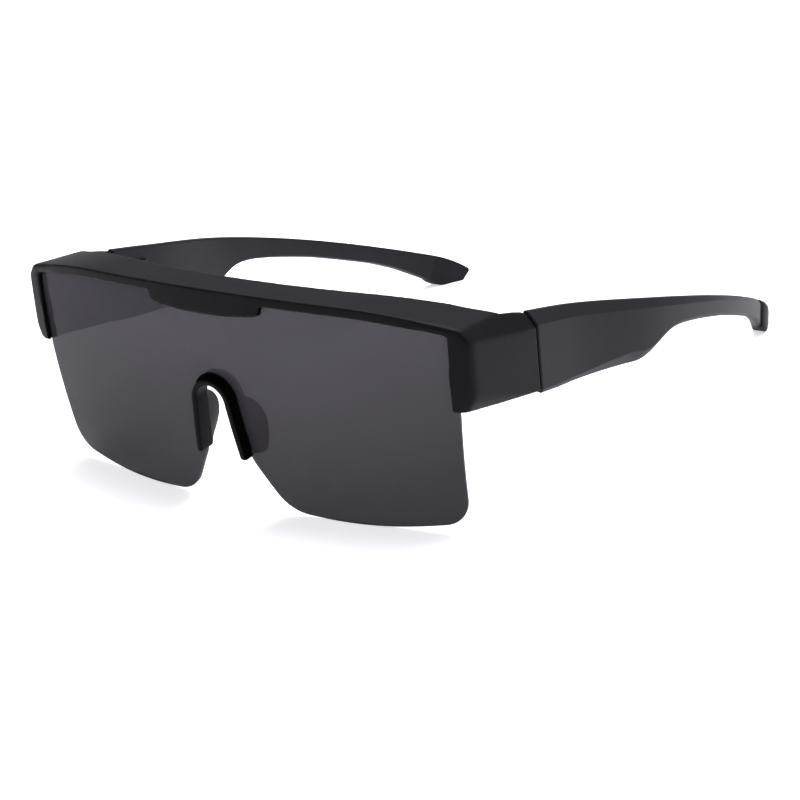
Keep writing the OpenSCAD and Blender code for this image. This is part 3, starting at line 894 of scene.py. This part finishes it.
def smoothed(values):
    """Evens out the corners of a run of sections."""
    values = np.array(values)
    for _ in range(3):
        values[1:-1] = (values[:-2] + 2 * values[1:-1] + values[2:]) / 4
    return values


print("section at the hinge, in mm:", np.ptp(temple_section(0), axis=0).round(1))

# %% [markdown]
# Sections are made at close stations along the edge, closest where the bulb begins, and evened out
# so that no kink shows between them. A subdivision surface would smooth a few wide ones as well,
# but it would also soften the crease. At both ends the last section closes in on itself.

# %% Temple stations
end_from = edge_l - tip_r
arm_step, tip_step = 1.4, 0.6
tip_arc = np.radians([12, 24, 36, 48, 60, 71, 80, 87])


def closing(line, depth):
    """A section drawn in towards its middle, by no more than its own size."""
    middle = (line.min(0) + line.max(0)) / 2
    size = line.max(0) - line.min(0)
    return middle + (line - middle) * (1 - 2 * depth / size)


def temple_stops():
    """Lengths along the edge, how far the section closes in there, and the section."""
    stations = np.r_[np.arange(0.8, edge_l - 20, arm_step),
                     np.arange(edge_l - 19.2, end_from, tip_step), end_from]
    sections = smoothed([temple_section(s) for s in stations])
    # The foot stays above the table
    for s, line in zip(stations, sections):
        line[:, 1] = np.maximum(line[:, 1], -edge_place(s)[1] / math.cos(heading(s)))
    # The hinge end closes in over its first third of a millimetre
    stops = [(0, 0.35, sections[0]), (0.1, 0.15, sections[0]), (0.35, 0, sections[0])]
    stops += [(s, 0, line) for s, line in zip(stations, sections)]
    for a in tip_arc:
        stops.append((end_from + tip_r * math.sin(a), tip_r * (1 - math.cos(a)), sections[-1]))
    return stops


stops = temple_stops()
print("temple sections:", len(stops), "of", len(stops[0][2]), "points")

# %% [markdown]
# The sections are set up along the edge, leaned with it, and moved sideways to follow a head: a
# little outward first, and then inward towards the tip. The bulb could be a piece of its own, but on
# the real temple all of it is one moulding, so only the material changes: duller from the fold on,
# and painted shade, the deepest black, on the outer side of the fold.

# %% Temple mesh
fold_from = edge_l - fold_back
tip_flat = 0.45
upright_l = 13
# The points of a section that lie on its outer side come first
outer_points = 15


def temple(name, side):
    """One temple, on the side given as 1 or -1."""
    rings = []
    for s, depth, line in stops:
        a = heading(s)
        y0, z0 = edge_place(s)
        out = closing(line, depth * (tip_flat if s > end_from else 1))[:, 0]
        up = np.maximum(closing(line, depth)[:, 1], -z0 / math.cos(a))
        # The first sections stand upright, to meet the end piece's flat face
        y = y0 + up * math.sin(a) * min(1, s / upright_l)
        x = half_w - np.array([sweep_in(v) for v in y]) + out
        rings.append(placed(np.stack([x, y, z0 + up * math.cos(a)], 1)) * (side, 1, 1))
    piece = skinned(name, rings)
    for finish in (temple_black, tip_black, painted_shade_black):
        piece.data.materials.append(finish)
    count = len(rings[0])
    for face in piece.data.polygons:
        s = stops[min(face.index // count, len(stops) - 1)][0]
        if s > fold_from:
            # Painted shade: the fold's outer faces get the deepest black
            in_fold = s < fold_from + fold_w and face.index % count < outer_points
            face.material_index = 2 if in_fold else 1
    return piece


for side, word in ((1, "left"), (-1, "right")):
    arm = temple(word + "_arm", side)
    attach(arm, word + "_temple")
    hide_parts(word + "_temple")

# %% [markdown]
# ## Nose piece
# The nose piece is a soft moulding that grips the edge of the notch: a rib that stands out in
# front of the lens, a thin flange on either side of the lens, and pads behind that rest on the
# nose. It could be cut out of a block, but its groove has to follow the lens exactly. So it is one
# section again, carried round the notch, and its pads grow and flare towards their ends. The rib's
# outer wall lies in its own shade, so it gets a deeper black.

# %% Nose piece sizes
nose_low, nose_wall, nose_proud, nose_cover, rib_reach = 16, 1.2, 3, 1.4, 0.6
pad_reach, pad_back, pad_flare, pad_w = 6.4, 0.9, 1.6, 1.5
lens_gap = 0.1
nose_end_r = 0.9


def notch_path():
    """Points up one leg of the notch, over the arch and down the other leg."""
    heights = np.r_[nose_low + nose_end_r * (1 - np.cos(np.linspace(0, math.pi / 2, 6))),
                    np.linspace(nose_low + nose_end_r, arch_z, 24)[1:-1]]
    legs = [(leg_x(z), z) for z in heights]
    turn = np.linspace(0, math.pi, 30)
    arch = [(notch_r * math.cos(a), arch_z + notch_r * math.sin(a)) for a in turn]
    return np.array([(-x, z) for x, z in legs] + arch[::-1] + legs[::-1])


path = notch_path()
print("notch path:", len(path), "points")

# %% [markdown]
# The section's corners are measured away from the notch and back from the lens's face. They give it
# the rib, the groove and the pad. The pad could be a lump of its own, joined on, but on the real
# piece it runs out of the flange without a seam, so it is part of the section and bulges along the
# leg.

# %% Nose piece section
# The pad's depth along a leg: least share, place of the end, and two powers for its bulge
pad_least, pad_end, pad_rise, pad_bulge = 0.1, 0.94, 0.9, 0.8
nose_radii = [0.7, 0.55, 0.12, 0.06, 0.05, 0.04, 0.04, 0.05, 0.3, 0.4, 0.6, 1.2]


def nose_section(z):
    """Corners away from the notch and behind the lens's face, rounded."""
    low = min(1, max(0, (arch_z - z) / (arch_z - nose_low)))
    out = nose_cover + pad_flare * low
    bulge = math.sin(math.pi * min(1, low * pad_end) ** pad_rise) ** pad_bulge
    swell = pad_least + (1 - pad_least) * bulge
    rear = lens_t + pad_back + (pad_reach - pad_back) * swell
    cover = along(z, (nose_low, rib_reach + 0.05), (nose_low + 1.2, rib_reach + 0.15),
                  (nose_low + 2.4, nose_cover))
    corners = [(-nose_wall, -nose_proud), (rib_reach - 0.1, -nose_proud),
               (rib_reach, -lens_gap - 0.25), (cover, -lens_gap - 0.15),
               (cover, -lens_gap), (-lens_gap, -lens_gap),
               (-lens_gap, lens_t + lens_gap), (cover, lens_t + lens_gap),
               (out, (lens_t + rear) / 2), (out - 0.4, rear),
               (out - pad_w, rear), (-nose_wall, lens_t)]
    return rounded(corners, nose_radii)


print("section half way down the leg, in mm:",
      np.ptp(nose_section((arch_z + nose_low) / 2), axis=0).round(1))

# %% [markdown]
# Each ring stands across the notch's edge and follows the ball, so that the groove fits the lens.
# The ends could be cut off flat, but a soft moulding has round ends. So there the rings grow
# smaller as a quarter circle does.

# %% Nose piece mesh
end_closing = 1.3
# The points of a section that lie on the rib's outer wall
rib_wall = range(8, 19)


def nose_piece():
    """The section carried round the notch, with round ends."""
    rings = []
    last = len(path) - 1
    run = np.r_[0, np.cumsum(np.linalg.norm(np.diff(path, axis=0), axis=1))]
    for i, (x, z) in enumerate(path):
        ahead = path[min(last, i + 1)] - path[max(0, i - 1)]
        ahead = ahead / np.linalg.norm(ahead)
        # The section closes in as a quarter circle at both ends
        left = nose_end_r - min(run[i], run[-1] - run[i], nose_end_r)
        close = nose_end_r - math.sqrt(nose_end_r**2 - left**2)
        line = nose_section(z)
        size = line.max(0) - line.min(0)
        middle = (line.max(0) + line.min(0)) / 2
        away, behind = (middle + (line - middle) * (1 - end_closing * close / size)).T
        points = np.stack([x - ahead[1] * away, lens_face(x, z) + behind, z + ahead[0] * away], 1)
        rings.append(placed(leaned(points)))
    return skinned("nose_saddle_piece", rings)


saddle = nose_piece()
saddle.data.materials.append(nose_black)
saddle.data.materials.append(painted_shade_black)
count = len(nose_section(nose_low))
# Painted shade: the rib's outer wall gets the deepest black
for face in saddle.data.polygons:
    if face.index % count in rib_wall and face.index < count * (len(path) - 1):
        face.material_index = 1
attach(saddle, "root")
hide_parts("nose_piece")

# %% [markdown]
# ## Hinges
# Each hinge is two steel leaves, held by small screws, and one long screw through their knuckles.
# They are cut from the solid, so their own edges are kept and only broken by a small bevel. First
# the flat faces are joined up again, so that the bevel finds whole edges. The steel is blackened,
# because nothing bright shows over the shelf in front of the far hinge.

# %% Steel finish
steel = Finish("blackened_steel")
grain = steel.noise(scale=900, detail=3, roughness=0.6)
steel.set(Base_Color=steel.ramp(grain, (0.03, 0.03, 0.033), (0.05, 0.05, 0.054), 0.35, 0.65),
          Metallic=1.0, Roughness=steel.between(grain, 0.26, 0.4),
          Normal=steel.bump(grain, distance=0.00001))
print("steel finish:", steel.material.name)

# %% [markdown]
# Every leaf and screw is a copy of its solid, and the leaves get a wider bevel than the screws. A
# leaf could be made from boxes and cylinders again, but the solid already has its knuckles and
# holes in the right places. Each copy is also told which body carries it, so that the knuckles
# pass between each other when a temple folds.

# %% Hinge pieces
leaf_edge = 0.0001
screw_edge = 0.00006
same_point = 0.000001
flat_angle = math.radians(2)
edge_angle = math.radians(38)


def eased(name, node, width):
    """A copy of a solid with whole faces and bevelled edges."""
    piece = linked(name, frame["nodes"][node].data.copy())
    whole = bmesh.new()
    whole.from_mesh(piece.data)
    bmesh.ops.remove_doubles(whole, verts=whole.verts, dist=same_point)
    bmesh.ops.dissolve_limit(whole, angle_limit=flat_angle, verts=whole.verts, edges=whole.edges)
    whole.to_mesh(piece.data)
    whole.free()
    bevel = piece.modifiers.new("broken_edge", "BEVEL")
    bevel.width = width
    bevel.segments = 2
    bevel.limit_method = "ANGLE"
    bevel.angle_limit = edge_angle
    bevel.harden_normals = True
    piece.data.shade_smooth()
    piece.data.materials.clear()
    piece.data.materials.append(steel.material)
    return piece


hinge_nodes = []
for word in ("left", "right"):
    hinge_nodes += [(word + "_end_leaf", "root"), (word + "_temple_leaf", word + "_temple"),
                    (word + "_hinge_screw", "root"), (word + "_leaf_screws", word + "_temple")]
hinge_nodes.append(("end_leaf_screws", "root"))
for node, body in hinge_nodes:
    screw = "screw" in node
    part = eased("steel_" + node, node, screw_edge if screw else leaf_edge)
    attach(part, body)
    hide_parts(node)
print("hinge pieces:", len(hinge_nodes))
